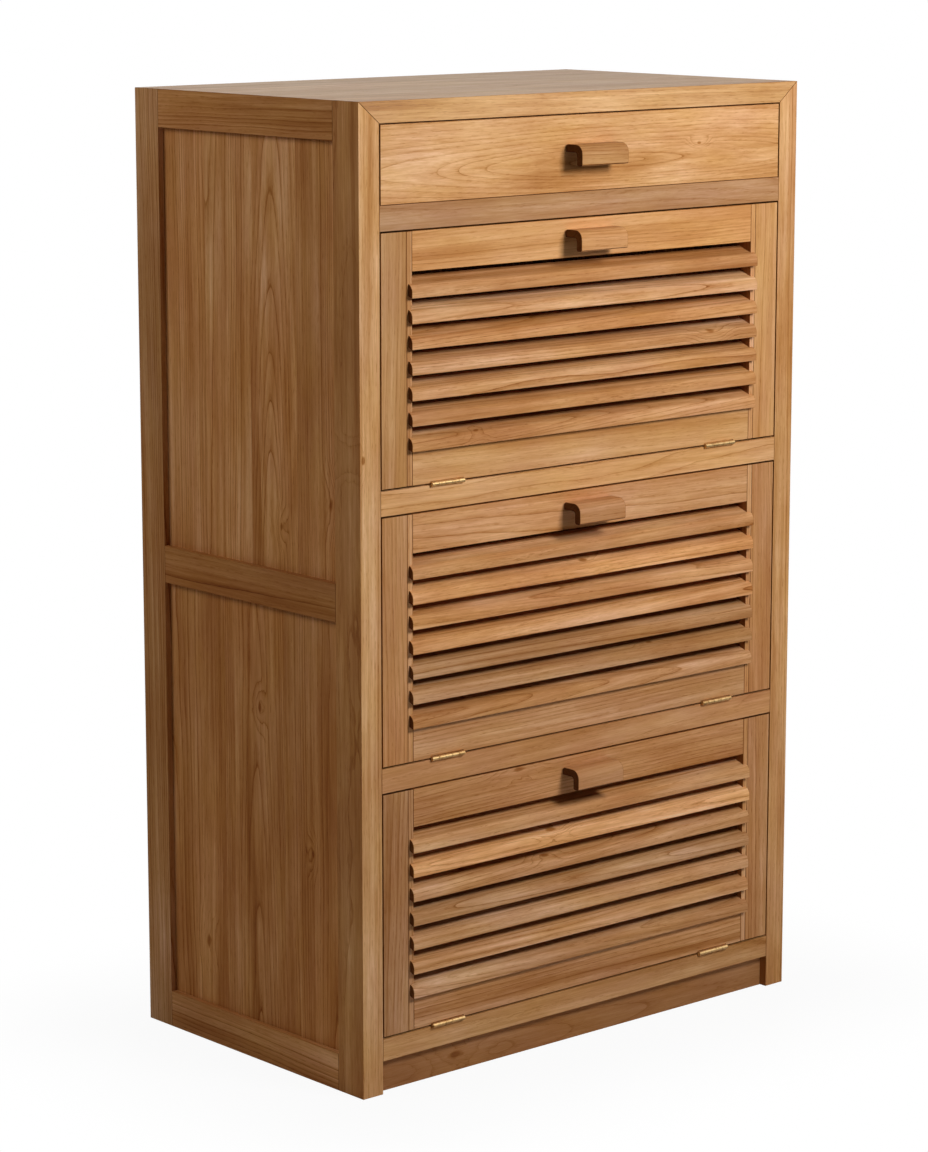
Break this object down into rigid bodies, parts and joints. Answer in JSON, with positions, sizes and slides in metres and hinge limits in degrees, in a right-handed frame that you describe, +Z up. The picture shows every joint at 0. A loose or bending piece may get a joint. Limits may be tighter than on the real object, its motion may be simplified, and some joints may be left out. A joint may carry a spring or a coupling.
{
  "type": "louvred flap cabinet",
  "caption": "Tall solid-wood cabinet with a top drawer over bottom-hinged louvred flaps, hooded wooden handles, framed side panels and a recessed plinth.",
  "frame": {"origin": "centre of the bounding box at floor level; the box runs from the back of the side frames to the front of the handles", "axes": "+X to the cabinet's right as seen from its front, +Y towards its back (the doors face -Y), +Z up"},
  "size_m": [0.7, 0.443, 1.15],
  "materials": {
    "front_teak": "satin",
    "side_teak": "satin",
    "top_teak": "satin",
    "louvre_teak": "satin",
    "inner_wood": "plain, unpolished",
    "brass": "polished"
  },
  "bodies": {
    "carcass": {"left_front_stile": "side_teak", "left_back_stile": "side_teak", "left_top_rail": "side_teak", "left_middle_rail": "side_teak", "left_bottom_rail": "side_teak", "left_upper_panel": "side_teak", "left_lower_panel": "side_teak", "right_front_stile": "side_teak", "right_back_stile": "side_teak", "right_top_rail": "side_teak", "right_middle_rail": "side_teak", "right_bottom_rail": "side_teak", "right_upper_panel": "side_teak", "right_lower_panel": "side_teak", "top_board": "top_teak", "drawer_shelf": "front_teak", "shelf_1": "front_teak", "shelf_2": "front_teak", "bottom_shelf": "front_teak", "kick_board": "front_teak", "back_panel": "inner_wood", "door_1_left_hinge_shelf_leaf": "brass", "door_1_right_hinge_shelf_leaf": "brass", "door_2_left_hinge_shelf_leaf": "brass", "door_2_right_hinge_shelf_leaf": "brass", "door_3_left_hinge_shelf_leaf": "brass", "door_3_right_hinge_shelf_leaf": "brass"},
    "drawer": {"drawer_front": "front_teak", "drawer_left_side": "inner_wood", "drawer_right_side": "inner_wood", "drawer_back": "inner_wood", "drawer_bottom": "inner_wood", "drawer_handle": "front_teak"},
    "door_1": {"door_1_left_stile": "front_teak", "door_1_right_stile": "front_teak", "door_1_top_rail": "front_teak", "door_1_bottom_rail": "front_teak", "door_1_louvres": "louvre_teak", "door_1_handle": "front_teak", "door_1_left_hinge_door_leaf": "brass", "door_1_right_hinge_door_leaf": "brass", "door_1_stay": "brass"},
    "door_2": {"door_2_left_stile": "front_teak", "door_2_right_stile": "front_teak", "door_2_top_rail": "front_teak", "door_2_bottom_rail": "front_teak", "door_2_louvres": "louvre_teak", "door_2_handle": "front_teak", "door_2_left_hinge_door_leaf": "brass", "door_2_right_hinge_door_leaf": "brass", "door_2_stay": "brass"},
    "door_3": {"door_3_left_stile": "front_teak", "door_3_right_stile": "front_teak", "door_3_top_rail": "front_teak", "door_3_bottom_rail": "front_teak", "door_3_louvres": "louvre_teak", "door_3_handle": "front_teak", "door_3_left_hinge_door_leaf": "brass", "door_3_right_hinge_door_leaf": "brass", "door_3_stay": "brass"}
  },
  "joints": [
    {"name": "drawer_slide", "type": "slide", "parent": "carcass", "child": "drawer", "axis": [0, -1, 0], "range_m": [0, 0.25]},
    {"name": "door_1_hinge", "type": "hinge", "parent": "carcass", "child": "door_1", "pos_m": [0, -0.19535, 0.71267], "axis": [1, 0, 0], "range_deg": [0, 75]},
    {"name": "door_2_hinge", "type": "hinge", "parent": "carcass", "child": "door_2", "pos_m": [0, -0.19535, 0.39033], "axis": [1, 0, 0], "range_deg": [0, 75]},
    {"name": "door_3_hinge", "type": "hinge", "parent": "carcass", "child": "door_3", "pos_m": [0, -0.19535, 0.068], "axis": [1, 0, 0], "range_deg": [0, 75]}
  ]
}
